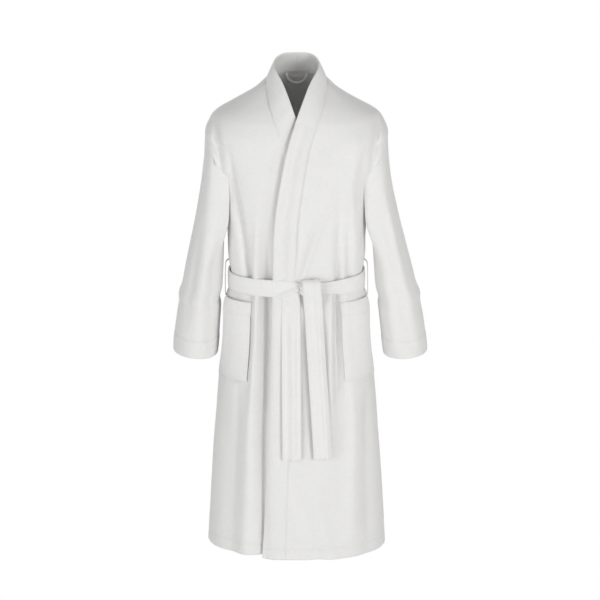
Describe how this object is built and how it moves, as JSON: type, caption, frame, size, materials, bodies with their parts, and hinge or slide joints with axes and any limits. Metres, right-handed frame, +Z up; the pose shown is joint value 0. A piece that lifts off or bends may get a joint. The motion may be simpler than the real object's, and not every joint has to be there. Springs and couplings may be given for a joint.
{
  "type": "bathrobe",
  "caption": "Knee-length kimono bathrobe in white cotton, worn and tied: wrap-over fronts, long collar bands, cuffed sleeves, patch pockets and a knotted belt.",
  "frame": {"origin": "midway between the two neck points of the shoulders, where the robe hangs from its wearer", "axes": "+Z up along the robe, front faces -Y, +X towards the wearer's left"},
  "size_m": [0.6384, 0.3207, 1.2603],
  "materials": {
    "robe_cloth": "fine waffle-woven white cotton, matt with a soft sheen",
    "belt_cloth": "the robe's white cotton, doubled and pressed flat, matt",
    "loop_tape": "narrow folded cotton tape, matt",
    "label_cloth": "plain blank woven tape, slightly satin"
  },
  "bodies": {
    "robe": {"back_panel": "robe_cloth", "front_panel_left": "robe_cloth", "front_panel_right": "robe_cloth", "collar_band_left": "robe_cloth", "collar_band_right": "robe_cloth", "pocket_left": "robe_cloth", "pocket_right": "robe_cloth", "pocket_facing_left": "robe_cloth", "pocket_facing_right": "robe_cloth", "belt": "belt_cloth", "belt_knot": "belt_cloth", "belt_loop_left": "loop_tape", "belt_loop_right": "loop_tape", "hem_back": "robe_cloth", "hem_left": "robe_cloth", "hem_right": "robe_cloth", "neck_label": "label_cloth"},
    "left_sleeve": {"sleeve_left": "robe_cloth", "cuff_left": "robe_cloth"},
    "right_sleeve": {"sleeve_right": "robe_cloth", "cuff_right": "robe_cloth"},
    "tail_over": {"belt_tail_over": "belt_cloth"},
    "tail_under": {"belt_tail_under": "belt_cloth"},
    "front_corner": {"front_corner_left": "robe_cloth", "collar_band_corner": "robe_cloth", "hem_corner": "robe_cloth"},
    "hanging_loop": {"hanging_loop": "loop_tape"}
  },
  "joints": [
    {"name": "left_sleeve_raise", "type": "hinge", "parent": "robe", "child": "left_sleeve", "pos_m": [0.227, 0, -0.1357], "axis": [0, -1, 0], "range_deg": [0, 60]},
    {"name": "right_sleeve_raise", "type": "hinge", "parent": "robe", "child": "right_sleeve", "pos_m": [-0.227, 0, -0.1357], "axis": [0, 1, 0], "range_deg": [0, 60]},
    {"name": "tail_over_lift", "type": "hinge", "parent": "robe", "child": "tail_over", "pos_m": [0.034, -0.113, -0.532], "axis": [-1, 0, 0], "range_deg": [0, 80]},
    {"name": "tail_under_lift", "type": "hinge", "parent": "robe", "child": "tail_under", "pos_m": [-0.0145, -0.113, -0.532], "axis": [-1, 0, 0], "range_deg": [0, 80]},
    {"name": "front_corner_turn_back", "type": "hinge", "parent": "robe", "child": "front_corner", "pos_m": [0.0163, -0.1605, -1.0815], "axis": [-0.6282, 0.0295, 0.7775], "range_deg": [0, 50]},
    {"name": "hanging_loop_flip", "type": "hinge", "parent": "robe", "child": "hanging_loop", "pos_m": [0, 0.047, 0.008], "axis": [-1, 0, 0], "range_deg": [0, 150]}
  ]
}
